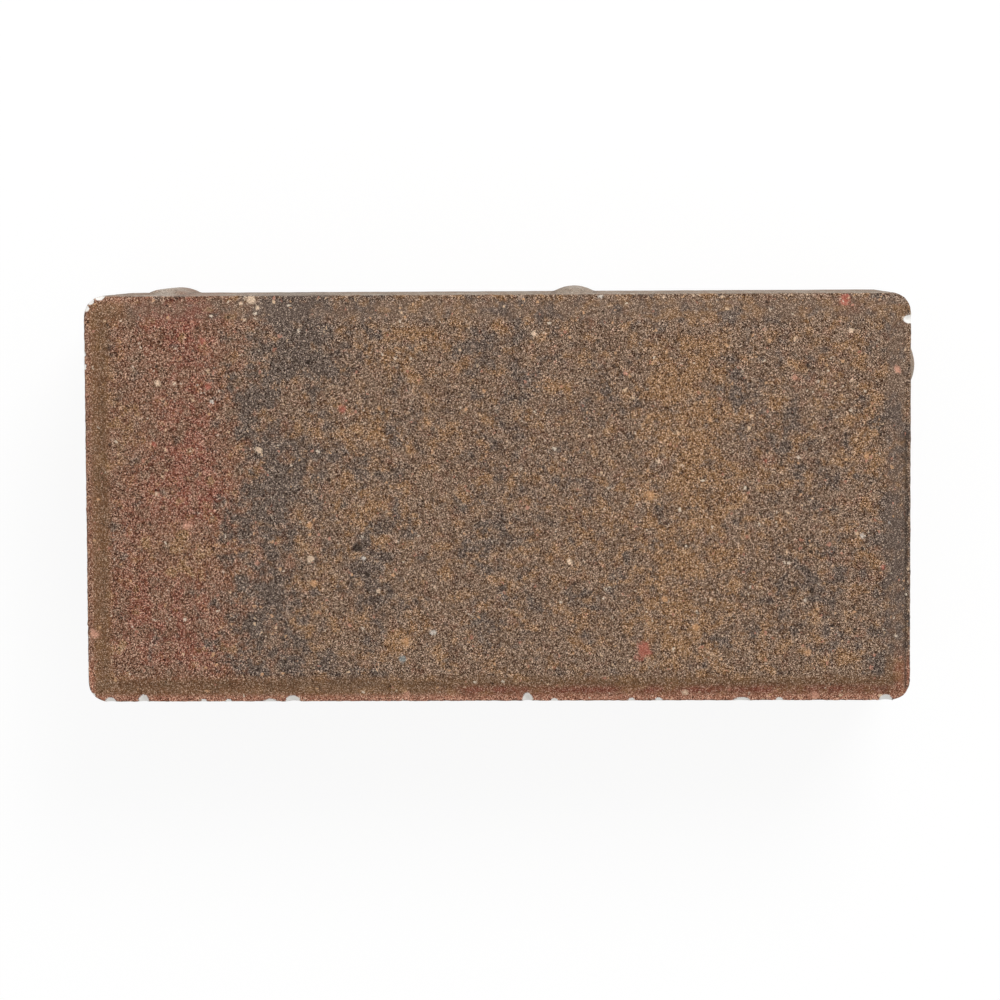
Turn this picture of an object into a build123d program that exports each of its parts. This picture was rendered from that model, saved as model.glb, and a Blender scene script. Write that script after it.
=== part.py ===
from build123d import *
import os

# Concrete paving stone, cast and pressed in one piece.
# Millimetres. Origin at the centre of the bed face, X along the stone, Y to its back, Z up.

# Body
LENGTH = 198.0
WIDTH = 98.0
HEIGHT = 60.0
CORNER_RADIUS = 5.0

# Pressed edge round the wearing face: a nearly flat rim, then a straight slope
EDGE_WIDTH = 6.4
EDGE_DROP = 2.4
RIM_WIDTH = 1.4
RIM_RISE = 0.2
FACE_CORNER_RADIUS = 2.6
FACE_EASING = 2.5

# Spacer lugs: round-backed ribs up the walls, their tops running back to the wall in a cone
LUG_WIDTH = 10.0
LUG_PROJECTION = 1.4
LUG_TOP = 50.0
WORN_LUG_TOP = 35.0
LUG_RAMP = 3.0
LUG_SETBACK = 17.5
LUG_PITCH = 100.0
CONE_RUN_ON = 0.8

# Levels and outlines that follow from the sizes above
arris_level = HEIGHT - EDGE_DROP
rim_length = LENGTH - 2 * RIM_WIDTH
rim_width = WIDTH - 2 * RIM_WIDTH
rim_corner_radius = CORNER_RADIUS - RIM_WIDTH
face_length = LENGTH - 2 * EDGE_WIDTH
face_width = WIDTH - 2 * EDGE_WIDTH

# A lug is the part of an upright round post that shows outside the wall
lug_radius = (LUG_WIDTH**2 / 4 + LUG_PROJECTION**2) / (2 * LUG_PROJECTION)
lug_inset = lug_radius - LUG_PROJECTION
cone_height = LUG_RAMP * (1 + CONE_RUN_ON / LUG_PROJECTION)
cone_top_radius = lug_inset - CONE_RUN_ON

# Lug stations: two on the back wall at the laying pitch, one on the right wall
worn_lug_x = -LENGTH / 2 + LUG_SETBACK
whole_lug_x = worn_lug_x + LUG_PITCH
back_post_y = WIDTH / 2 - lug_inset
side_post_x = LENGTH / 2 - lug_inset
side_post_y = WIDTH / 2 - LUG_SETBACK

on_base = (Align.CENTER, Align.CENTER, Align.MIN)

with BuildPart() as paving_stone:
    # Upright walls from the bed to the arris
    with BuildSketch():
        RectangleRounded(LENGTH, WIDTH, CORNER_RADIUS)
    extrude(amount=arris_level)

    # Rim and slope in one ruled loft through three outlines
    with BuildSketch(Plane.XY.offset(arris_level)):
        RectangleRounded(LENGTH, WIDTH, CORNER_RADIUS)
    with BuildSketch(Plane.XY.offset(arris_level + RIM_RISE)):
        RectangleRounded(rim_length, rim_width, rim_corner_radius)
    with BuildSketch(Plane.XY.offset(HEIGHT)):
        RectangleRounded(face_length, face_width, FACE_CORNER_RADIUS)
    loft(ruled=True)

    # Soft edge between the slope and the wearing face
    wearing_face = paving_stone.faces().sort_by(Axis.Z)[-1]
    fillet(wearing_face.edges(), radius=FACE_EASING)

    # Whole lugs
    with Locations((whole_lug_x, back_post_y, 0), (side_post_x, side_post_y, 0)):
        Cylinder(lug_radius, LUG_TOP, align=on_base)
    with Locations((whole_lug_x, back_post_y, LUG_TOP), (side_post_x, side_post_y, LUG_TOP)):
        Cone(lug_radius, cone_top_radius, cone_height, align=on_base)

    # Lug worn down from its top
    with Locations((worn_lug_x, back_post_y, 0)):
        Cylinder(lug_radius, WORN_LUG_TOP, align=on_base)
    with Locations((worn_lug_x, back_post_y, WORN_LUG_TOP)):
        Cone(lug_radius, cone_top_radius, cone_height, align=on_base)

paving_stone.part.label = "paving_stone"
os.makedirs("parts", exist_ok=True)
export_step(paving_stone.part, "parts/paving_stone.step")
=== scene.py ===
import math

import bpy
import numpy as np
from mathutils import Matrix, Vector


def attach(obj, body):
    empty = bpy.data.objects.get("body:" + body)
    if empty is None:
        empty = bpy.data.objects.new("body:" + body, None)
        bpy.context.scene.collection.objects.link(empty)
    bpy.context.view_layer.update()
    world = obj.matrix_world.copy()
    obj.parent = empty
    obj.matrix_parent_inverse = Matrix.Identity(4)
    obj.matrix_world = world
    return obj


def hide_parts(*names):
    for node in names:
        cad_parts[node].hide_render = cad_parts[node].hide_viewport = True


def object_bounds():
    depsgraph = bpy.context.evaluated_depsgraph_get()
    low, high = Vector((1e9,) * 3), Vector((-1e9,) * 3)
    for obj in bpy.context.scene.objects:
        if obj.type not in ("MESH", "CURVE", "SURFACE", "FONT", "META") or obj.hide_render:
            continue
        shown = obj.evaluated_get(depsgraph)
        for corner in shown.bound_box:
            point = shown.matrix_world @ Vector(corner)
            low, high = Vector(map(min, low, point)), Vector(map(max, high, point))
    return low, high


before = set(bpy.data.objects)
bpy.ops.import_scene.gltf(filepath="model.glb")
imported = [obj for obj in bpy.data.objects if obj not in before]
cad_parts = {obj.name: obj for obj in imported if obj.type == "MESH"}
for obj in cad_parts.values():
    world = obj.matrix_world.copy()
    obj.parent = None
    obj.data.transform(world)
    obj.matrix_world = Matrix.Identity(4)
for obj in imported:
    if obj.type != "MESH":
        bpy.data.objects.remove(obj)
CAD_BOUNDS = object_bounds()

# A pressed concrete paving stone, brown with clouds of red oxide and charcoal.
# Places and sizes are millimetres in the frame of the solid, heights from its bed face.

MM = 0.001

# The solid's outline, read from the frame. The front and left walls have no lugs, so its box ends at them.
HALF_LENGTH = round(-CAD_BOUNDS[0][0] / MM, 3)
HALF_WIDTH = round(-CAD_BOUNDS[0][1] / MM, 3)
HEIGHT = round(CAD_BOUNDS[1][2] / MM, 3)
LEFT = -HALF_LENGTH
RIGHT = HALF_LENGTH
FRONT = -HALF_WIDTH
BACK = HALF_WIDTH

# The solid's pressed edge
EDGE_WIDTH = 6.4
EDGE_DROP = 2.4
RIM_WIDTH = 1.4
RIM_RISE = 0.2
ARRIS_LEVEL = HEIGHT - EDGE_DROP

# The solid's spacer lugs
LUG_SETBACK = 17.5
LUG_PITCH = 100.0
LUG_HALF_WIDTH = 5.0
LUG_TOP = 50.0
BACK_LUGS = [LEFT + LUG_SETBACK, LEFT + LUG_SETBACK + LUG_PITCH]
RIGHT_LUG = BACK - LUG_SETBACK


def only(piece):
    """Leaves piece as the one selected, active object."""
    bpy.ops.object.select_all(action="DESELECT")
    piece.select_set(True)
    bpy.context.view_layer.objects.active = piece


def modify(piece, kind, **settings):
    """Puts a modifier on piece and applies it."""
    only(piece)
    modifier = piece.modifiers.new(kind.lower(), kind)
    for name, value in settings.items():
        setattr(modifier, name, value)
    bpy.ops.object.modifier_apply(modifier=modifier.name)


def hex_colour(code):
    """An sRGB hex code as the linear colour that sockets take."""
    parts = [int(code[i:i + 2], 16) / 255 for i in (1, 3, 5)]
    linear = [c / 12.92 if c <= 0.04045 else ((c + 0.055) / 1.055) ** 2.4 for c in parts]
    return (*linear, 1.0)


def node(tree, kind, sockets=None, **settings):
    """Adds a node with its settings. A socket takes a value, another socket, or a node's first output."""
    made = tree.nodes.new(kind)
    for name, value in settings.items():
        setattr(made, name, value)
    for socket, value in (sockets or {}).items():
        if isinstance(value, bpy.types.Node):
            value = value.outputs[0]
        if isinstance(value, bpy.types.NodeSocket):
            tree.links.new(value, made.inputs[socket])
        else:
            made.inputs[socket].default_value = value
    return made


# The casting

def casting():
    """The solid's own mesh as a new piece, its loose triangles joined."""
    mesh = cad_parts["paving_stone"].data.copy()
    piece = bpy.data.objects.new("weathered_paving_stone", mesh)
    bpy.context.scene.collection.objects.link(piece)
    only(piece)
    bpy.ops.object.mode_set(mode="EDIT")
    bpy.ops.mesh.select_all(action="SELECT")
    bpy.ops.mesh.remove_doubles(threshold=0.001 * MM)
    bpy.ops.object.mode_set(mode="OBJECT")
    return piece


# Flakes broken off the arris: x, y, width, depth into the stone, height, turn in degrees
FLAKES = [
    (-93.5, FRONT, 2.2, 1.0, 2.0, 0.0),
    (-85.5, FRONT, 2.0, 1.7, 2.4, 0.0),
    (-71.0, FRONT, 1.2, 0.6, 1.2, 0.0),
    (-65.0, FRONT, 1.2, 0.6, 1.2, 0.0),
    (-55.0, FRONT, 3.2, 0.6, 1.2, 0.0),
    (-49.5, FRONT, 3.0, 1.4, 2.6, 0.0),
    (7.0, FRONT, 2.0, 2.0, 2.8, 0.0),
    (13.5, FRONT, 1.4, 0.6, 1.2, 0.0),
    (32.0, FRONT, 1.4, 0.7, 1.2, 0.0),
    (38.5, FRONT, 1.6, 0.7, 1.2, 0.0),
    (58.5, FRONT, 4.0, 0.7, 1.4, 0.0),
    (67.5, FRONT, 1.6, 0.7, 1.2, 0.0),
    (93.0, FRONT, 2.8, 1.3, 2.2, 0.0),
    (RIGHT, 42.5, 1.6, 1.8, 2.6, 90.0),
    (LEFT, 35.0, 1.0, 0.4, 1.0, 90.0),
    (LEFT, 32.0, 1.0, 0.4, 1.0, 90.0),
    (-95.0, BACK, 2.2, 0.9, 2.2, 10.0),
    (-97.5, 48.0, 1.6, 1.0, 2.4, 45.0),
    (-98.5, 46.0, 1.0, 0.8, 1.4, 80.0),
    (-98.0, -47.5, 1.0, 0.6, 1.6, -45.0),
]
# Older chips along the edge of the bed: x, y, width, depth, height, turn
BED_CHIPS = [
    (-72.0, FRONT, 3.0, 0.8, 1.2, 0.0),
    (-21.0, FRONT, 1.8, 0.5, 0.8, 0.0),
    (33.0, FRONT, 4.5, 0.9, 1.6, 0.0),
    (81.0, FRONT, 2.2, 0.6, 1.0, 0.0),
    (-60.0, BACK, 2.6, 0.7, 1.1, 0.0),
    (-8.0, BACK, 4.0, 0.8, 1.4, 0.0),
    (61.0, BACK, 2.0, 0.6, 0.9, 0.0),
    (RIGHT, -20.0, 3.4, 0.9, 1.5, 90.0),
    (RIGHT, 12.0, 1.6, 0.5, 0.8, 90.0),
    (LEFT, -30.0, 2.4, 0.7, 1.1, 90.0),
    (LEFT, 21.0, 3.8, 0.9, 1.3, 90.0),
    (97.5, -47.5, 3.0, 1.5, 2.6, 45.0),
    (-97.6, 47.4, 2.4, 1.1, 2.0, 45.0),
]
# Groove that the press left just inside the right edge: x, y and length of each stretch
GROOVE = [
    (97.7, 9.0, 13.0),
    (97.9, -2.0, 14.0),
    (97.7, -14.0, 15.0),
    (97.8, -27.0, 16.0),
    (97.7, -39.0, 14.0),
]
GROOVE_WIDTH = 0.8
GROOVE_DEPTH = 0.35


def flake_cutter(x, y, width, depth, height, turn, level=ARRIS_LEVEL):
    """A rough lens that stands on the wall and is cut out of it. Its place seeds its roughness."""
    bpy.ops.object.select_all(action="DESELECT")
    bpy.ops.mesh.primitive_ico_sphere_add(subdivisions=3, radius=1.0, location=(0, 0, 0))
    cutter = bpy.context.object
    bpy.ops.object.mode_set(mode="EDIT")
    bpy.ops.mesh.select_all(action="SELECT")
    bpy.ops.transform.vertex_random(offset=0.07, uniform=0.3, normal=0.7, seed=int(abs(x) * 10 + abs(y)))
    bpy.ops.transform.resize(value=(width / 2 * MM, depth * MM, height * MM), center_override=(0, 0, 0))
    bpy.ops.object.mode_set(mode="OBJECT")
    cutter.rotation_euler = (0, 0, math.radians(turn))
    cutter.location = (x * MM, y * MM, level * MM)
    bpy.ops.object.transform_apply(location=True, rotation=True, scale=True)
    return cutter


def break_flakes(piece):
    """Cuts the flakes, the chips and the groove out of the piece."""
    cutters = [flake_cutter(*flake) for flake in FLAKES]
    cutters += [flake_cutter(*chip, level=0.0) for chip in BED_CHIPS]
    rim_level = ARRIS_LEVEL + RIM_RISE
    for x, y, length in GROOVE:
        cutters.append(flake_cutter(x, y, length, GROOVE_WIDTH / 2, GROOVE_DEPTH, 90, rim_level))
    bpy.ops.object.select_all(action="DESELECT")
    for cutter in cutters:
        cutter.select_set(True)
    bpy.context.view_layer.objects.active = cutters[0]
    bpy.ops.object.join()
    modify(piece, "BOOLEAN", operation="DIFFERENCE", solver="EXACT", object=cutters[0], use_self=True)
    bpy.data.objects.remove(cutters[0])


def vertex_places(piece):
    """Each vertex's place in millimetres."""
    places = np.empty(len(piece.data.vertices) * 3)
    piece.data.vertices.foreach_get("co", places)
    return places.reshape(-1, 3) / MM


def inset(places):
    """How far inside the nearest wall each place lies."""
    return np.minimum(HALF_LENGTH - np.abs(places[:, 0]), HALF_WIDTH - np.abs(places[:, 1]))


def band(distance, middle, reach, height=1.0):
    """The given height on the middle line, falling by 1 over the reach on both sides, kept from 0 to 1."""
    return np.clip(height - np.abs(distance - middle) / reach, 0, 1)


def weight_group(piece, name, weights):
    """A vertex group that holds the weights in twenty steps."""
    steps_in_one = 20
    group = piece.vertex_groups.new(name=name)
    steps = np.round(np.clip(weights, 0, 1) * steps_in_one).astype(int)
    for step in range(1, steps_in_one + 1):
        members = np.flatnonzero(steps == step)
        group.add(members.tolist(), step / steps_in_one, "REPLACE")


# Fine mesh: its spacing and its triangles in all. It starts to thin this far below the arris, and is
# thinnest after this height more.
VOXEL = 0.55
TRIANGLES = 190000
THIN_FROM = 3.0
THIN_OVER = 6.0


def refine(piece):
    """An even fine mesh, thinned on the walls and the bed, which are seen from further off."""
    modify(piece, "REMESH", mode="VOXEL", voxel_size=VOXEL * MM, use_smooth_shade=True)
    below_face = ARRIS_LEVEL - THIN_FROM - vertex_places(piece)[:, 2]
    weight_group(piece, "plain sides", below_face / THIN_OVER)
    triangles = 2 * len(piece.data.polygons)
    modify(piece, "DECIMATE", ratio=TRIANGLES / triangles, vertex_group="plain sides", vertex_group_factor=8)


def relief(piece, name, kind, size, depth, group, **settings):
    """Presses a texture's shape into the skin, inwards only, so the stone keeps its size."""
    texture = bpy.data.textures.new(name, kind)
    texture.noise_scale = size * MM
    for key, value in settings.items():
        setattr(texture, key, value)
    modify(
        piece, "DISPLACE", texture=texture, texture_coords="LOCAL",
        strength=depth * MM, mid_level=1.0, vertex_group=group,
    )


# Each relief's size and depth. Relief as fine as the real sand is lost in the mesh and wouldn't show, so the
# skin of sand is drawn this coarse. The lumps in the mix and the crumbs at the arris are at their real size.
SAND_SKIN = (1.1, 0.35)
LUMPS = (3.5, 0.35)
CRUMBS = (1.2, 0.25)

# Relief left on the walls, and taken off the smooth slope, as shares of the face's relief. The slope's
# middle lies this far inside the walls, and its smoothness fades out over this reach.
WALL_RELIEF = 0.25
SLOPE_SMOOTHING = 0.55
SLOPE_MIDDLE = 4.2
SLOPE_REACH = 2.6


def roughen(piece):
    """Sand and lumps all over, least on the smooth pressed slope and the walls, and a crumbled arris."""
    places = vertex_places(piece)
    within = inset(places)
    level = places[:, 2]
    top = np.clip(level - ARRIS_LEVEL + 1, 0, 1)
    slope = band(within, SLOPE_MIDDLE, SLOPE_REACH)
    weight_group(piece, "worn face", WALL_RELIEF + (1 - WALL_RELIEF) * top * (1 - SLOPE_SMOOTHING * slope))
    weight_group(piece, "arris", band(level, ARRIS_LEVEL, 2.0) * np.clip(1 - within / 1.2, 0, 1))
    relief(piece, "sand skin", "VORONOI", *SAND_SKIN, "worn face", weight_1=1.0)
    relief(piece, "lumps in the mix", "CLOUDS", *LUMPS, "worn face", noise_depth=2)
    relief(piece, "crumbled arris", "CLOUDS", *CRUMBS, "arris", noise_depth=1, contrast=2.0)
    for group in list(piece.vertex_groups):
        piece.vertex_groups.remove(group)


# Pigment, held by the mesh

# Clouds of pigment in the mix, less than none where they thin it: x, y, reach along x, reach along y, share
RED_CLOUDS = [
    (-92, -5, 9, 60, 0.46),
    (-77, 0, 13, 70, 0.53),
    (-56, -8, 10, 50, 0.28),
    (-74, 44, 15, 8, 0.40),
    (-71, 33, 7, 14, 0.28),
    (-70, 10, 8, 14, 0.34),
    (-65, -1, 8, 5, 0.25),
    (-67, -26, 11, 18, 0.26),
    (-84, -32, 14, 12, 0.18),
    (-68, -40, 8, 6, 0.25),
    (-40, 5, 6, 4, 0.20),
    (44, 33, 3, 7, 0.15),
    (53, 39, 3, 3, 0.20),
    (64, 10, 5, 3, 0.28),
    (80, 31, 9, 8, 0.24),
    (83, 47, 5, 3, 0.25),
    (85, -15, 8, 6, 0.25),
    (95, -38, 5, 12, 0.20),
]
CHARCOAL_CLOUDS = [
    (-80, 0, 12, 60, -0.10),
    (-56, 0, 9, 60, 0.14),
    (-49, 46, 10, 5, 0.60),
    (-46, 35, 9, 7, 0.62),
    (-57, 26, 8, 5, 0.32),
    (-62, 21, 4, 4, 0.25),
    (-30, 42, 4, 8, 0.25),
    (-50, 11, 9, 6, 0.38),
    (-52, 2, 8, 6, 0.25),
    (-58, -6, 9, 6, 0.38),
    (-54, -22, 8, 9, 0.40),
    (-57, -35, 9, 7, 0.32),
    (-42, -38, 10, 6, 0.22),
    (-31, -16, 5, 7, 0.50),
    (-29, -26, 5, 5, 0.28),
    (-36, 8, 6, 4, 0.28),
    (-22, 20, 7, 5, 0.32),
    (-25, -5, 5, 4, 0.25),
    (-4, 36, 6, 5, 0.28),
    (3, 44, 9, 5, 0.34),
    (4, 28, 9, 5, 0.34),
    (1, 14, 7, 6, 0.25),
    (4, -2, 7, 5, 0.30),
    (-4, -12, 11, 6, 0.28),
    (2, -29, 9, 8, 0.22),
    (27, 24, 6, 5, 0.34),
    (20, 6, 5, 5, 0.28),
    (29, -11, 6, 5, 0.28),
    (34, 43, 7, 4, 0.26),
    (22, -26, 6, 4, 0.20),
    (54, 43, 5, 4, 0.26),
    (59, 24, 6, 5, 0.36),
    (67, 16, 6, 5, 0.36),
    (77, 5, 8, 8, 0.25),
    (74, -20, 9, 7, 0.36),
    (57, -34, 6, 4, 0.25),
    (75, -35, 8, 4, 0.28),
    (96, -12, 5, 32, 0.36),
    (93, -32, 6, 16, 0.20),
    (93, -8, 5, 5, 0.30),
    (94, 18, 5, 6, 0.30),
    (93, 45, 5, 5, 0.24),
]
BUFF_CLOUDS = [
    (-80, 0, 13, 60, -0.22),
    (-76, -12, 8, 6, 0.45),
    (-89, 17, 5, 9, 0.42),
    (-58, -2, 3, 3, 0.25),
    (-32, -5, 4, 5, 0.40),
    (-30, 17, 7, 4, 0.32),
    (-26, 2, 6, 4, 0.22),
    (-22, -34, 4, 3, 0.40),
    (-24, 38, 12, 6, 0.25),
    (14, 27, 4, 3, 0.30),
    (27, 2, 5, 4, 0.25),
    (46, 24, 10, 10, 0.40),
    (44, -18, 10, 22, 0.30),
    (49, 4, 8, 8, 0.30),
    (87, 19, 4, 5, 0.30),
    (87, 10, 4, 3, 0.30),
]

# Kinds of stone in the mix
CREAM = "#E8CDB0"
OCHRE = "#C69669"
SALMON = "#CF9880"
BRICK = "#AB5F4E"
PALE_GREY = "#CCC5BB"
SLATE = "#899190"

# Single stones that stand out in the face: x, y, radius, kind
SHOWN_STONES = [
    (34.5, -36.5, 2.0, BRICK),
    (-37, 21.5, 1.3, BRICK),
    (-70, 38, 0.8, BRICK),
    (-69, 27, 0.9, BRICK),
    (-82, 13.5, 0.8, BRICK),
    (83, 47, 1.2, BRICK),
    (92, -16.5, 0.8, BRICK),
    (64, 9, 0.7, BRICK),
    (-74, -6, 1.2, SALMON),
    (-97, -32.5, 1.2, SALMON),
    (-22, -47.5, 1.0, SALMON),
    (31, 30, 0.6, SALMON),
    (47, -6, 0.6, SALMON),
    (71, 29, 0.8, SALMON),
    (95.5, 30.5, 1.0, SALMON),
    (76, -47.5, 0.9, SALMON),
    (-57.5, -15, 0.7, SALMON),
    (-81, 28, 0.8, CREAM),
    (-77, 28, 0.6, CREAM),
    (-57, 12, 0.6, CREAM),
    (-57, 46, 0.5, CREAM),
    (-60, 43, 0.5, CREAM),
    (-61, 47, 0.5, CREAM),
    (-58.5, 48, 1.4, CREAM),
    (-90.5, 4, 0.5, CREAM),
    (-81.5, 1.5, 0.5, CREAM),
    (-44, 28, 0.4, CREAM),
    (-45, -14, 0.8, CREAM),
    (-28.5, -22, 0.6, CREAM),
    (-15, -21, 0.5, CREAM),
    (-17, -3.5, 0.5, CREAM),
    (-16, -38.5, 0.5, CREAM),
    (9, 39.5, 0.6, CREAM),
    (17, -15, 0.8, CREAM),
    (38.5, 9, 0.5, CREAM),
    (44, 8, 0.5, CREAM),
    (50, -6, 0.5, CREAM),
    (51, -24, 0.5, CREAM),
    (84.5, 40, 0.6, CREAM),
    (84.5, 28, 0.5, CREAM),
    (40, 48, 0.5, CREAM),
    (47, 48.5, 0.5, CREAM),
    (74, 48.5, 0.6, CREAM),
    (45, -47, 0.8, CREAM),
    (-45, -6, 0.9, OCHRE),
    (-44, -20, 0.8, OCHRE),
    (-43, -27, 0.9, OCHRE),
    (-22, -34, 1.1, OCHRE),
    (-3, 26, 0.6, OCHRE),
    (36.5, 1, 1.2, OCHRE),
    (40, -24, 0.6, OCHRE),
    (47.5, -31, 0.8, OCHRE),
    (74, -37, 0.9, OCHRE),
    (88, 10, 0.9, OCHRE),
    (-32, -14, 0.6, PALE_GREY),
    (-15.5, -32, 0.8, PALE_GREY),
    (-68, 23.5, 0.5, PALE_GREY),
    (25, 48.5, 0.9, PALE_GREY),
    (87, -9, 0.8, PALE_GREY),
    (93.5, -6, 0.4, PALE_GREY),
    (-23, -38.5, 1.0, SLATE),
]
# Places where a stone fell out of the face, not cut in the mesh but painted dark as their shade: x, y, radius
HOLLOWS = [
    (-33.5, -11.5, 1.0),
    (-31, -18, 0.6),
    (-69, 25, 0.5),
    (-45, 33, 0.6),
    (75, -22, 0.7),
    (80, -30.5, 0.5),
]

# Lines along the edge, as distances from the wall: painted shade along the slope's foot, and a streak of
# red oxide along the front, which starts at this x and is full a little further right
SHADE_LINE_AT_FOOT = 4.7
RED_LINE = 2.9
RED_LINE_START = -18.0
RED_LINE_FULL = -6.0

# How far the front and left sides reach inwards, and over what length they fade
SIDE_REACH = 2 * EDGE_WIDTH
SIDE_FADE = 4.0

# How far the pale inside shows beyond a flake
FRESH_MARGIN = 0.3

# Stand-ins for places that are near no lug, in millimetres, or near no stone, in radii
FAR_FROM_LUGS = 99.0
FAR_FROM_STONES = 9.0


def cloud_share(places, clouds):
    """How much of a pigment the clouds give each place, fading out from their middles."""
    share = np.zeros(len(places))
    for x, y, reach_x, reach_y, strength in clouds:
        apart = ((places[:, 0] - x) / reach_x) ** 2 + ((places[:, 1] - y) / reach_y) ** 2
        share += strength * np.exp(-0.8 * apart)
    return share


def wearing_side(places):
    """1 on the wearing face and its edge, 0 on the walls and the bed."""
    reach_in = np.clip(inset(places), 0, 1)
    return np.interp(places[:, 2] + reach_in, [ARRIS_LEVEL - 0.6, ARRIS_LEVEL - 0.2], [0, 1])


def front_and_left(places):
    """1 along the front and 1 along the left, the sides whose edge is golden."""
    fade = [SIDE_REACH - SIDE_FADE, SIDE_REACH]
    front = np.interp(places[:, 1] - FRONT, fade, [1, 0])
    left = np.interp(places[:, 0] - LEFT, fade, [1, 0])
    return front, left


def edge_shares(places):
    """The smooth pressed edge, its rim, painted shade along its slope's foot, and the streak of red along the
    front.
    """
    within = inset(places)
    front, left = front_and_left(places)
    inner_end = np.interp(within, [EDGE_WIDTH - 1.0, EDGE_WIDTH + 0.6], [1, 0])
    outer_end = np.interp(within, [RIM_WIDTH - 0.5, RIM_WIDTH + 0.5], [0, 1])
    rim = np.interp(within, [RIM_WIDTH - 0.3, RIM_WIDTH + 0.9], [1, 0])
    streak = np.interp(places[:, 0], [RED_LINE_START, RED_LINE_FULL], [0, 1])
    return {
        "pressed edge": outer_end * inner_end,
        "rim": rim * np.maximum(front, 0.4 * left),
        # Painted shade along the slope's foot, only on the front and left, the sides turned from the key
        # light
        "painted shade at slope foot": band(within, SHADE_LINE_AT_FOOT, 1.1, 1.3) * np.maximum(front, left),
        "red line": band(within, RED_LINE, 1.3, 1.3) * front * streak,
    }


def groove_share(places):
    """1 in the groove inside the right edge, where the groove's shade is also painted dark."""
    x, y = places.T[:2]
    share = np.zeros(len(places))
    for at_x, at_y, length in GROOVE:
        past_end = np.clip(np.abs(y - at_y) - length / 2, 0, None)
        beside = np.abs(x - at_x) / GROOVE_WIDTH + past_end
        share = np.maximum(share, np.clip(1.2 - 1.5 * beside, 0, 1))
    return share


def hollow_share(places):
    """1 in the middle of each hollow, fading past its radius."""
    share = np.zeros(len(places))
    for x, y, radius in HOLLOWS:
        away = np.hypot(places[:, 0] - x, places[:, 1] - y) / radius
        share = np.maximum(share, np.interp(away, [0.5, 1.5], [1, 0]))
    return share


def fresh_share(places):
    """1 on the broken surface of each flake."""
    x, y, z = places.T
    share = np.zeros(len(places))
    for at_x, at_y, width, depth, height, turn in FLAKES:
        along = np.cos(np.radians(turn))
        across = np.sin(np.radians(turn))
        beside = ((x - at_x) * along + (y - at_y) * across) / (width / 2 + FRESH_MARGIN)
        inward = ((y - at_y) * along - (x - at_x) * across) / (depth + FRESH_MARGIN)
        below = (z - ARRIS_LEVEL) / (height + FRESH_MARGIN)
        away = np.sqrt(beside**2 + inward**2 + below**2)
        share = np.maximum(share, np.interp(away, [0.75, 1.25], [1, 0]))
    return share


def lug_shares(places):
    """Painted shade at the roots of the lugs, and a painted highlight with some rub wear along their crests.
    """
    x, y, z = places.T
    from_back_lug = np.minimum(*[np.abs(x - lug) for lug in BACK_LUGS])
    from_lug = np.where(y > BACK - 1, from_back_lug, FAR_FROM_LUGS)
    from_lug = np.where(x > RIGHT - 1, np.abs(y - RIGHT_LUG), from_lug)
    return {
        "painted shade at lug root": band(from_lug, LUG_HALF_WIDTH, 0.7, 1.2) * np.interp(z, [LUG_TOP, LUG_TOP + 3], [1, 0]),
        "lug crest highlight and rub": band(from_lug, 0, 2.4, 1.4) * np.interp(z, [LUG_TOP - 1, LUG_TOP + 1], [1, 0]),
    }


def nearest_stones(places, on_top):
    """How many radii each place lies from the nearest single stone, and that stone's colour."""
    away = np.full(len(places), FAR_FROM_STONES)
    tone = np.zeros((len(places), 4))
    for x, y, radius, kind in SHOWN_STONES:
        near = np.hypot(places[:, 0] - x, places[:, 1] - y) / radius + 5 * (1 - on_top)
        nearer = near < away
        away[nearer] = near[nearer]
        tone[nearer] = hex_colour(kind)
    return away, tone


def lay_pigments(piece):
    """Writes each vertex's shares of pigment, edge, lug and damage on the mesh, and returns their names."""
    places = vertex_places(piece)
    on_top = wearing_side(places)
    on_the_face = {**edge_shares(places), "groove": groove_share(places), "hollow": hollow_share(places)}
    from_arris = inset(places) / 1.2 + np.abs(places[:, 2] - ARRIS_LEVEL) / 2.5
    stone_edge, stone_colour = nearest_stones(places, on_top)
    shares = {name: on_top * values for name, values in on_the_face.items()}
    shares |= lug_shares(places)
    shares |= {
        "red oxide": cloud_share(places, RED_CLOUDS),
        "charcoal": cloud_share(places, CHARCOAL_CLOUDS),
        "buff": cloud_share(places, BUFF_CLOUDS),
        "golden edge": np.maximum(*front_and_left(places)),
        "arris": np.clip(1.6 - from_arris, 0, 1),
        "fresh break": fresh_share(places),
        "wearing side": on_top,
        "stone edge": stone_edge,
    }
    for name, values in shares.items():
        layer = piece.data.attributes.new(name, "FLOAT", "POINT")
        layer.data.foreach_set("value", values.astype(np.float32))
    layer = piece.data.attributes.new("stone colour", "FLOAT_COLOR", "POINT")
    layer.data.foreach_set("color", stone_colour.astype(np.float32).ravel())
    return list(shares)


# Material

# Fine sand. The real grains start at 0.06 mm. Such fine ones wouldn't show, so all are drawn at this size.
SAND = 0.16
# Coarser sand, at its real size
COARSE_SAND = 0.4
# Grit: the cells are this wide, the bits in them 0.3 to 0.9 mm. A few real bits are larger: SHOWN_STONES.
GRIT = 0.95
# How far the grit's cells are pushed out of round
GRIT_PUSH = 2.5
# Patches of the mix with more or less of a pigment, at their real size
MOTTLE = 3.6
# Drag marks on the walls: distance apart, and length. Real ones are as fine as the sand that scratched them,
# which wouldn't show.
DRAG = 1.3
DRAG_LENGTH = 26.0
# Paler patches on the walls, at their real size
BLOOM = 16.0
# Height of a sand grain over the paste, a little more than real so that it shows
GRAIN_HEIGHT = 0.2

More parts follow.
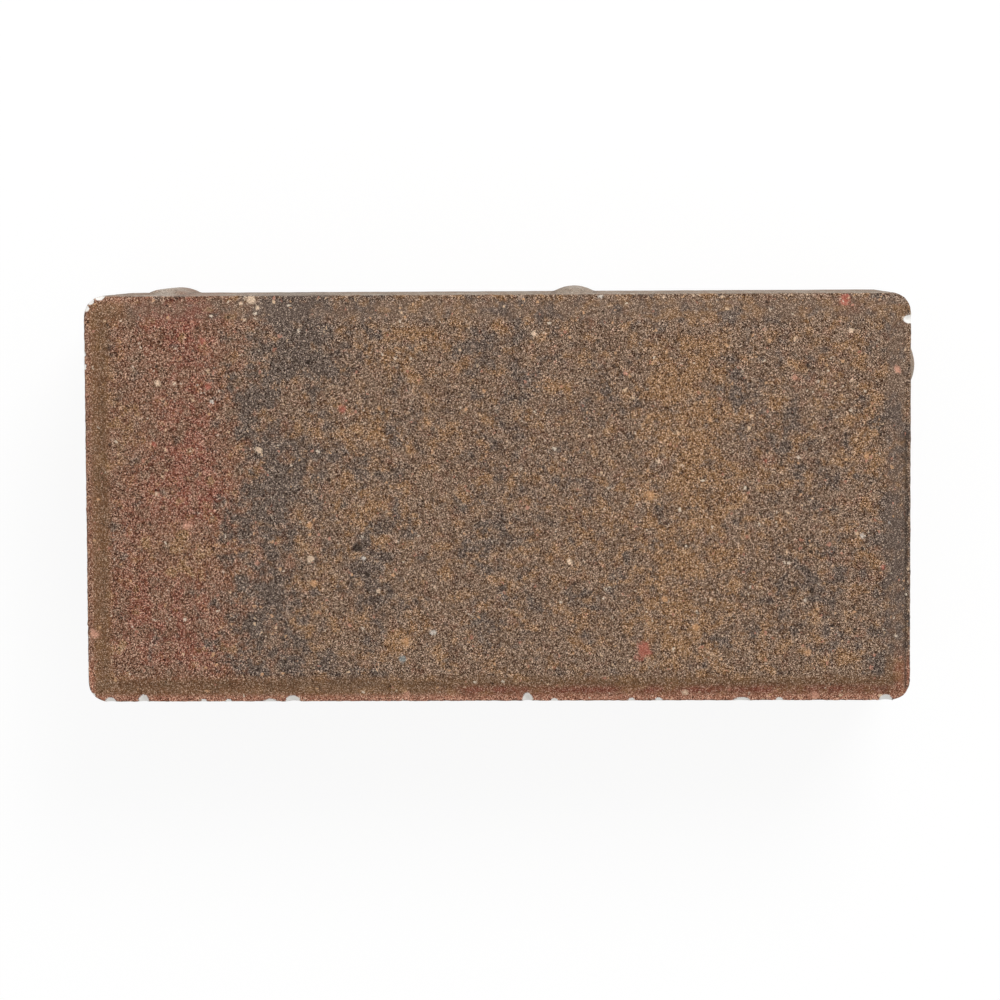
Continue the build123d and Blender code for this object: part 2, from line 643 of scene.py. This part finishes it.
# The plain paste, and the pigments in the order that they lie over it, charcoal last. Each has the cloud
# that brings it, the pattern of the mix that it meets, how readily it shows without a cloud, the softness of
# its edge, and its tone.
PASTE = "#7F644F"
PIGMENTS = [
    ("red oxide", "Green", 0.12, 0.30, "#875B44"),
    ("red oxide", "Blue", -0.34, 0.20, "#914B3A"),
    ("buff", "Blue", 0.30, 0.18, "#9A724A"),
    ("charcoal", "Red", 0.16, 0.20, "#61524A"),
]
GRIT_TONES = ["#DDBE9C", "#CFA27A", "#C08A74", "#DCCDB8", "#C9A078", "#AE7662"]


def grains(tree, place, size):
    """Cells of one grain size: the distance from each grain's middle, and three random shades of its own."""
    cells = node(tree, "ShaderNodeTexVoronoi", {"Vector": place, "Scale": 1 / size})
    chance = node(tree, "ShaderNodeTexWhiteNoise", {"Vector": cells.outputs["Color"]}, noise_dimensions="3D")
    shades = node(tree, "ShaderNodeSeparateColor", {0: chance.outputs["Color"]})
    return cells.outputs["Distance"], shades.outputs


def paste_colour(tree, held, uneven, jitter):
    """The paste with its pigments, and the charcoal's share. A pigment shows where its cloud is dense."""
    colour = hex_colour(PASTE)
    for name, pattern, ground, edge, tone in PIGMENTS:
        mixing = {"Value": uneven[pattern], "From Min": 0.32, "From Max": 0.68}
        need = node(tree, "ShaderNodeMapRange", mixing)
        spare = node(tree, "ShaderNodeMath", {0: held[name], 1: need}, operation="SUBTRACT")
        spare = node(tree, "ShaderNodeMath", {0: spare, 1: jitter}, operation="ADD")
        limits = {"Value": spare, "From Min": -ground - edge, "From Max": edge - ground}
        share = node(tree, "ShaderNodeMapRange", limits)
        layer = {0: share, 6: colour, 7: hex_colour(tone)}
        colour = node(tree, "ShaderNodeMix", layer, data_type="RGBA").outputs[2]
    return colour, share


def edge_tones(tree, colour, held, uneven):
    """The pressed edge, brown at the back and right, golden at the front and left, the red line and rim, and
    painted shade at the slope's foot and in the groove.
    """
    golden = held["golden edge"]
    evened = node(tree, "ShaderNodeMapRange", {"Value": golden, "To Min": 0.4, "To Max": 0.65})
    layer = {0: golden, 6: hex_colour("#5F4F45"), 7: hex_colour("#835C39")}
    edge_tone = node(tree, "ShaderNodeMix", layer, data_type="RGBA").outputs[2]
    blotches = {"Value": uneven["Blue"], "From Min": 0.38, "From Max": 0.6, "To Min": 0.2, "To Max": 0.75}
    blotchy = node(tree, "ShaderNodeMapRange", blotches)
    for name, strength, tone in (
        ("pressed edge", evened, edge_tone),
        # Painted shade along the slope's foot
        ("painted shade at slope foot", 0.3, hex_colour("#4E3722")),
        ("red line", blotchy, hex_colour("#8A4334")),
        ("rim", 0.85, hex_colour("#BC7C62")),
        # Painted shade in the groove, added over the shade of the groove cut into the mesh
        ("groove", 0.85, hex_colour("#2E221B")),
    ):
        share = node(tree, "ShaderNodeMath", {0: held[name], 1: strength}, operation="MULTIPLY")
        layer = {0: share, 6: colour, 7: tone}
        colour = node(tree, "ShaderNodeMix", layer, data_type="RGBA").outputs[2]
    return colour


def mould_skin(tree, colour, held, uneven, mm):
    """Walls and bed: a greyer skin with upright drag marks, in places thicker and paler, and painted shade in
    voids where the mix didn't close against the mould."""
    stretch = {0: mm, 1: (1 / DRAG, 1 / DRAG, 1 / DRAG_LENGTH)}
    dragged = node(tree, "ShaderNodeVectorMath", stretch, operation="MULTIPLY")
    drawn_out = {"Vector": dragged, "Scale": 1.0, "Detail": 3.0, "Roughness": 0.65}
    marks = node(tree, "ShaderNodeTexNoise", drawn_out)
    thickness = {"Value": marks, "From Min": 0.3, "From Max": 0.7, "To Min": 0.35, "To Max": 1.0}
    skin = node(tree, "ShaderNodeMapRange", thickness)
    broad = {"Vector": mm, "Scale": 1 / BLOOM, "Detail": 4.0, "Roughness": 0.6}
    patches = node(tree, "ShaderNodeTexNoise", broad)
    bloom = node(tree, "ShaderNodeMapRange", {"Value": patches, "From Min": 0.35, "From Max": 0.65})
    layer = {0: bloom, 6: hex_colour("#938779"), 7: hex_colour("#B3A99D")}
    grey = node(tree, "ShaderNodeMix", layer, data_type="RGBA").outputs[2]
    wall = node(tree, "ShaderNodeMix", {0: skin, 6: colour, 7: grey}, data_type="RGBA").outputs[2]
    # Painted shade where each lug meets the wall, and a painted highlight with some rub wear on each crest
    for name, strength, tone in (
        ("painted shade at lug root", 0.45, "#4A3D33"),
        ("lug crest highlight and rub", skin, "#BDB2A6"),
    ):
        share = node(tree, "ShaderNodeMath", {0: held[name], 1: strength}, operation="MULTIPLY")
        layer = {0: share, 6: wall, 7: hex_colour(tone)}
        wall = node(tree, "ShaderNodeMix", layer, data_type="RGBA").outputs[2]
    layer = {0: held["wearing side"], 6: wall, 7: colour}
    colour = node(tree, "ShaderNodeMix", layer, data_type="RGBA").outputs[2]

    # Painted shade: the voids are not in the mesh, so their shade is painted dark on the walls and bed
    void_shade = node(tree, "ShaderNodeMapRange", {"Value": uneven["Green"], "From Min": 0.355, "From Max": 0.325})
    plain = node(tree, "ShaderNodeMapRange", {"Value": held["wearing side"], "To Min": 0.75, "To Max": 0.0})
    void_shade = node(tree, "ShaderNodeMath", {0: void_shade, 1: plain}, operation="MULTIPLY")
    layer = {0: void_shade, 6: colour, 7: hex_colour("#30261F")}
    return node(tree, "ShaderNodeMix", layer, data_type="RGBA").outputs[2]


def single_stones(tree, colour, held, cover):
    """The stones that stand out, ragged where sand covers their edges, and how much of them shows."""
    ragged = node(tree, "ShaderNodeMath", {0: cover, 1: held["stone edge"]}, operation="ADD")
    limits = {"Value": ragged, "From Min": 1.15, "From Max": 0.6, "To Max": 0.9}
    shown = node(tree, "ShaderNodeMapRange", limits)
    stone_colour = node(tree, "ShaderNodeAttribute", attribute_name="stone colour").outputs["Color"]
    layer = {0: shown, 6: colour, 7: stone_colour}
    return node(tree, "ShaderNodeMix", layer, data_type="RGBA").outputs[2], shown


def grain_strength(tree, held, shown):
    """How strongly the sand stands out: less on the pressed edge, the groove, the walls and single stones."""
    remaining = 1.0
    for name, loss in (("pressed edge", 0.35), ("groove", 0.55)):
        weaker = {0: held[name], 1: -loss, 2: remaining}
        remaining = node(tree, "ShaderNodeMath", weaker, operation="MULTIPLY_ADD")
    full_on_top = {"Value": held["wearing side"], "To Min": 0.45, "To Max": 1.0}
    strength = node(tree, "ShaderNodeMapRange", full_on_top)
    strength = node(tree, "ShaderNodeMath", {0: strength, 1: remaining}, operation="MULTIPLY")
    over_stone = node(tree, "ShaderNodeMath", {0: shown, 1: -0.6, 2: 1.0}, operation="MULTIPLY_ADD")
    return node(tree, "ShaderNodeMath", {0: strength, 1: over_stone}, operation="MULTIPLY")


def sand_grains(tree, colour, strength, coaly, shade, coarse, coarse_shade):
    """Each grain is lighter or darker than the paste. Some coarse ones are pale, and some left a pore,
    painted dark as its shade.
    """
    pick = coarse_shade["Blue"]
    core = node(tree, "ShaderNodeMapRange", {"Value": coarse, "From Min": 0.6, "From Max": 0.45})

    # Lighter grains, which stand out a little less on charcoal, and pale flecks
    strongest = node(tree, "ShaderNodeMapRange", {"Value": coaly, "To Min": 1.5, "To Max": 1.15})
    bright = node(tree, "ShaderNodeMath", {0: shade["Red"], 1: 8.0}, operation="POWER")
    bright = node(tree, "ShaderNodeMath", {0: bright, 1: strongest}, operation="MULTIPLY")
    fleck = node(tree, "ShaderNodeMapRange", {"Value": pick, "From Min": 0.91, "From Max": 0.96})
    fleck = node(tree, "ShaderNodeMath", {0: fleck, 1: core}, operation="MULTIPLY")
    bright = node(tree, "ShaderNodeMath", {0: bright, 1: fleck}, operation="MAXIMUM")
    bright = node(tree, "ShaderNodeMath", {0: bright, 1: strength}, operation="MULTIPLY")
    layer = {0: bright, 6: colour, 7: hex_colour("#C0AD9A")}
    colour = node(tree, "ShaderNodeMix", layer, data_type="RGBA", blend_type="ADD").outputs[2]

    # Darker grains, and painted shade in the pores
    dull = node(tree, "ShaderNodeMath", {0: 1.0, 1: shade["Red"]}, operation="SUBTRACT")
    dull = node(tree, "ShaderNodeMath", {0: dull, 1: 2.6}, operation="POWER")
    dull = node(tree, "ShaderNodeMath", {0: dull, 1: 1.6}, operation="MULTIPLY")
    pore_shade = node(tree, "ShaderNodeMapRange", {"Value": pick, "From Min": 0.14, "From Max": 0.09})
    pore_shade = node(tree, "ShaderNodeMath", {0: pore_shade, 1: core}, operation="MULTIPLY")
    dark = node(tree, "ShaderNodeMath", {0: dull, 1: pore_shade}, operation="MAXIMUM", use_clamp=True)
    dark = node(tree, "ShaderNodeMath", {0: dark, 1: strength}, operation="MULTIPLY")
    layer = {0: dark, 6: colour, 7: hex_colour("#5E3E14")}
    return node(tree, "ShaderNodeMix", layer, data_type="RGBA", blend_type="MULTIPLY").outputs[2]


def grit_bits(tree, colour, held, jitter, cover, grit, shade):
    """Pale bits of grit, most along the arris, and painted shade in holes where a bit fell out and in the
    hollows.
    """
    top = held["wearing side"]
    reach = node(tree, "ShaderNodeMath", {0: jitter, 1: 9.0, 2: grit}, operation="MULTIPLY_ADD")
    mostly_small = node(tree, "ShaderNodeMath", {0: shade["Blue"], 1: 2.5}, operation="POWER")
    size = node(tree, "ShaderNodeMapRange", {"Value": mostly_small, "To Min": 0.16, "To Max": 0.46})
    inside = node(tree, "ShaderNodeMath", {0: reach, 1: size}, operation="LESS_THAN")

    rarity = node(tree, "ShaderNodeMapRange", {"Value": held["arris"], "To Min": 0.905, "To Max": 0.82})
    pale = node(tree, "ShaderNodeMath", {0: shade["Green"], 1: rarity}, operation="GREATER_THAN")
    pale = node(tree, "ShaderNodeMath", {0: pale, 1: inside}, operation="MULTIPLY")
    uncovered = node(tree, "ShaderNodeMapRange", {"Value": top, "To Min": 0.35, "To Max": 0.85})
    pale = node(tree, "ShaderNodeMath", {0: pale, 1: uncovered}, operation="MULTIPLY")
    tones = node(tree, "ShaderNodeValToRGB", {0: shade["Red"]})
    ramp = tones.color_ramp
    ramp.interpolation = "CONSTANT"
    ramp.elements.remove(ramp.elements[1])
    ramp.elements[0].color = hex_colour(GRIT_TONES[0])
    for i, tone in enumerate(GRIT_TONES[1:], start=1):
        ramp.elements.new(i / len(GRIT_TONES)).color = hex_colour(tone)
    colour = node(tree, "ShaderNodeMix", {0: pale, 6: colour, 7: tones}, data_type="RGBA").outputs[2]

    # Painted shade: the holes and hollows are not in the mesh, so their shade is painted nearly black
    holes = node(tree, "ShaderNodeMapRange", {"Value": top, "To Min": 0.09, "To Max": 0.045})
    hole_shade = node(tree, "ShaderNodeMath", {0: shade["Green"], 1: holes}, operation="LESS_THAN")
    hole_shade = node(tree, "ShaderNodeMath", {0: hole_shade, 1: inside}, operation="MULTIPLY")
    crumbly = node(tree, "ShaderNodeMath", {0: cover, 1: -0.8, 2: 1.0}, operation="MULTIPLY_ADD")
    hollow_shade = node(tree, "ShaderNodeMath", {0: crumbly, 1: held["hollow"]}, operation="MULTIPLY")
    hollow_shade = node(tree, "ShaderNodeMapRange", {"Value": hollow_shade, "From Min": 0.45, "From Max": 0.75})
    hole_shade = node(tree, "ShaderNodeMath", {0: hole_shade, 1: hollow_shade}, operation="MAXIMUM")
    hole_shade = node(tree, "ShaderNodeMath", {0: hole_shade, 1: 0.8}, operation="MULTIPLY")
    layer = {0: hole_shade, 6: colour, 7: hex_colour("#20150D")}
    return node(tree, "ShaderNodeMix", layer, data_type="RGBA").outputs[2]


def fresh_breaks(tree, colour, held, jitter):
    """Freshly broken places show the pale, dusty inside."""
    fresh = held["fresh break"]
    frayed = node(tree, "ShaderNodeMath", {0: jitter, 1: 8.0, 2: fresh}, operation="MULTIPLY_ADD")
    limits = {"Value": frayed, "From Min": 0.4, "From Max": 0.6, "To Max": 0.97}
    broken = node(tree, "ShaderNodeMapRange", limits)
    layer = {0: broken, 6: colour, 7: hex_colour("#FAF7F2")}
    return node(tree, "ShaderNodeMix", layer, data_type="RGBA").outputs[2]


def pressed_concrete(held_names):
    """Pressed concrete, a nearly dry mix coloured through with iron oxides. To the eye it is quite matt, a
    skin of fine sand with dark pores, brown clouded with red and charcoal, with a pale or dark bit of grit
    here and there. The walls slid along the mould and have a closed, greyer skin with upright drag marks."""
    material = bpy.data.materials.new("pressed concrete with oxide pigments")
    material.use_nodes = True
    tree = material.node_tree
    tree.nodes.clear()
    held = {}
    for name in held_names:
        held[name] = node(tree, "ShaderNodeAttribute", attribute_name=name).outputs["Fac"]
    place = node(tree, "ShaderNodeTexCoord").outputs["Object"]
    mm = node(tree, "ShaderNodeVectorMath", {0: place, "Scale": 1 / MM}, operation="SCALE")

    # How evenly the mix was stirred, as three patterns
    stirring = {"Vector": mm, "Scale": 1 / MOTTLE, "Detail": 4.0, "Roughness": 0.62}
    stirred = node(tree, "ShaderNodeTexNoise", stirring).outputs["Color"]
    uneven = node(tree, "ShaderNodeSeparateColor", {0: stirred}).outputs

    # Grains of three sizes, and a small random step from sand grain to sand grain that frays every edge
    sand, sand_shade = grains(tree, mm, SAND)
    coarse, coarse_shade = grains(tree, mm, COARSE_SAND)
    push = {0: stirred, 1: (GRIT_PUSH, GRIT_PUSH, GRIT_PUSH), 2: mm}
    pushed = node(tree, "ShaderNodeVectorMath", push, operation="MULTIPLY_ADD")
    grit, grit_shade = grains(tree, pushed, GRIT)
    small_step = {0: sand_shade["Green"], 1: 0.04, 2: -0.02}
    jitter = node(tree, "ShaderNodeMath", small_step, operation="MULTIPLY_ADD")

    # Sand over the edges of single stones and hollows, in radii
    cover = node(tree, "ShaderNodeMapRange", {"Value": uneven["Red"], "To Min": -1.8, "To Max": 1.8})
    cover = node(tree, "ShaderNodeMath", {0: jitter, 1: 12.0, 2: cover}, operation="MULTIPLY_ADD")

    colour, coaly = paste_colour(tree, held, uneven, jitter)
    colour = edge_tones(tree, colour, held, uneven)
    colour = mould_skin(tree, colour, held, uneven, mm)
    colour, shown = single_stones(tree, colour, held, cover)
    strength = grain_strength(tree, held, shown)
    colour = sand_grains(tree, colour, strength, coaly, sand_shade, coarse, coarse_shade)
    colour = grit_bits(tree, colour, held, jitter, cover, grit, grit_shade)
    colour = fresh_breaks(tree, colour, held, jitter)

    height = node(tree, "ShaderNodeMath", {0: sand, 1: -1.0}, operation="MULTIPLY")
    bump_strength = node(tree, "ShaderNodeMath", {0: strength, 1: 0.4}, operation="MULTIPLY")
    grain_shape = {"Strength": bump_strength, "Distance": GRAIN_HEIGHT * MM, "Height": height}
    bump = node(tree, "ShaderNodeBump", grain_shape)
    surface = {"Base Color": colour, "Normal": bump}
    surface |= {"Roughness": 0.92, "IOR": 1.5, "Specular IOR Level": 0.3}
    shader = node(tree, "ShaderNodeBsdfPrincipled", surface)
    node(tree, "ShaderNodeOutputMaterial", {"Surface": shader})
    return material


# Map for the bake: one flat view of each side, the wearing side largest so its grain stays sharp.
# For the top, bed, front, back, left and right: the axes drawn across and up (0 is x, 1 is y, 2 is z),
# the middle of the view on the sheet, and its scale.
SHEET_WIDTH = 204.0
SMALL = 0.46
SIDE_VIEWS = [
    (0, 1, 0.50, 0.25, 1.0),
    (0, 1, 0.25, 0.63, SMALL),
    (0, 2, 0.75, 0.58, SMALL),
    (0, 2, 0.75, 0.73, SMALL),
    (1, 2, 0.25, 0.83, SMALL),
    (1, 2, 0.75, 0.88, SMALL),
]


def lay_map(piece):
    """Lays the bake's map, each face of the mesh in the view of the side it looks to."""
    mesh = piece.data
    normals = np.empty(len(mesh.polygons) * 3)
    mesh.polygons.foreach_get("normal", normals)
    across, deep, up = normals.reshape(-1, 3).T
    totals = np.empty(len(mesh.polygons), int)
    mesh.polygons.foreach_get("loop_total", totals)
    corners = np.empty(len(mesh.loops), int)
    mesh.loops.foreach_get("vertex_index", corners)
    face = np.repeat(np.arange(len(totals)), totals)
    places = vertex_places(piece)
    level = np.bincount(face, places[corners, 2]) / totals
    looks_to = [
        level > ARRIS_LEVEL - 0.8,
        up < -0.8,
        (np.abs(deep) >= np.abs(across)) & (deep < 0),
        np.abs(deep) >= np.abs(across),
        across < 0,
    ]
    side = np.select(looks_to, range(len(looks_to)), len(looks_to))[face]
    places = places[corners] - (0, 0, HEIGHT / 2)
    sheet = np.empty((len(corners), 2))
    for number, (axis_across, axis_up, middle_across, middle_up, scale) in enumerate(SIDE_VIEWS):
        here = side == number
        sheet[here, 0] = middle_across + places[here, axis_across] / SHEET_WIDTH * scale
        sheet[here, 1] = middle_up + places[here, axis_up] / SHEET_WIDTH * scale
    mesh.uv_layers.new(name="OFBake").data.foreach_set("uv", sheet.astype(np.float32).ravel())


stone = casting()
break_flakes(stone)
refine(stone)
roughen(stone)
held_names = lay_pigments(stone)
lay_map(stone)
stone.data.materials.clear()
stone.data.materials.append(pressed_concrete(held_names))
only(stone)
bpy.ops.object.shade_smooth()
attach(stone, "root")
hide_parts("paving_stone")


# Floor, air and light, in metres

WHITE = (1.0, 1.0, 1.0, 1.0)
FLOOR_SIZE = 6.0
# The camera sees the floor as a dark card lifted to near white, so only a weak shadow stays on it
FLOOR_SHOWN = 0.12
FLOOR_LIFT = 0.89
WORLD_LIGHT = 0.62
KEY_POWER = 13.0
KEY_PLACE = Vector((0.45, 0.95, 1.25))
KEY_SIZE = 0.7


def background_rays(tree):
    """1 for the rays that show the white background: seen directly, mirrored, or through something clear."""
    rays = node(tree, "ShaderNodeLightPath").outputs
    direct_or_mirrored = {0: rays["Is Camera Ray"], 1: rays["Is Glossy Ray"]}
    seen = node(tree, "ShaderNodeMath", direct_or_mirrored, operation="MAXIMUM")
    return node(tree, "ShaderNodeMath", {0: seen, 1: rays["Is Transmission Ray"]}, operation="MAXIMUM")


def pale_floor():
    """A white card floor that keeps a weak shadow of the stone."""
    material = bpy.data.materials.new("white card")
    material.use_nodes = True
    tree = material.node_tree
    tree.nodes.clear()
    card = node(tree, "ShaderNodeBsdfDiffuse", {"Color": hex_colour("#F4F4F4")})
    shown_card = node(tree, "ShaderNodeBsdfDiffuse", {"Color": (FLOOR_SHOWN, FLOOR_SHOWN, FLOOR_SHOWN, 1.0)})
    lift = node(tree, "ShaderNodeEmission", {"Color": WHITE, "Strength": FLOOR_LIFT})
    shown = node(tree, "ShaderNodeAddShader", {0: shown_card, 1: lift})
    mixed = node(tree, "ShaderNodeMixShader", {0: background_rays(tree), 1: card, 2: shown})
    node(tree, "ShaderNodeOutputMaterial", {"Surface": mixed})
    return material


def studio_air():
    """A white world that lights the stone plainly."""
    world = bpy.data.worlds.new("studio")
    world.use_nodes = True
    tree = world.node_tree
    tree.nodes.clear()
    brightness = {"Value": background_rays(tree), "To Min": WORLD_LIGHT, "To Max": 1.0}
    strength = node(tree, "ShaderNodeMapRange", brightness)
    air = node(tree, "ShaderNodeBackground", {"Color": WHITE, "Strength": strength})
    node(tree, "ShaderNodeOutputWorld", {"Surface": air})
    return world


bpy.ops.object.select_all(action="DESELECT")
bpy.ops.mesh.primitive_plane_add(size=FLOOR_SIZE, location=(0, 0, 0))
floor = bpy.context.object
floor.name = "floor"
floor.data.materials.append(pale_floor())

bpy.context.scene.world = studio_air()

bpy.ops.object.light_add(type="AREA", location=KEY_PLACE)
key = bpy.context.object
key.name = "soft key"
key.data.energy = KEY_POWER
key.data.size = KEY_SIZE
key.rotation_euler = (-KEY_PLACE).to_track_quat("-Z", "Y").to_euler()

# Camera: place in millimetres, turn in degrees, focal length and sensor in millimetres
CAMERA_PLACE = (18.98, 60.30, 923.69)
CAMERA_TURN = (-4.009, 1.193, -0.283)
CAMERA_LENS = 130.53
CAMERA_SENSOR = 36.0

camera_place = [c * MM for c in CAMERA_PLACE]
camera_turn = [math.radians(a) for a in CAMERA_TURN]
bpy.ops.object.camera_add(location=camera_place, rotation=camera_turn)
camera = bpy.context.object
camera.name = "camera"
camera.data.sensor_width = CAMERA_SENSOR
camera.data.lens = CAMERA_LENS
camera.data.clip_start = 0.01
bpy.context.scene.camera = camera
bpy.context.scene.view_settings.view_transform = "Standard"
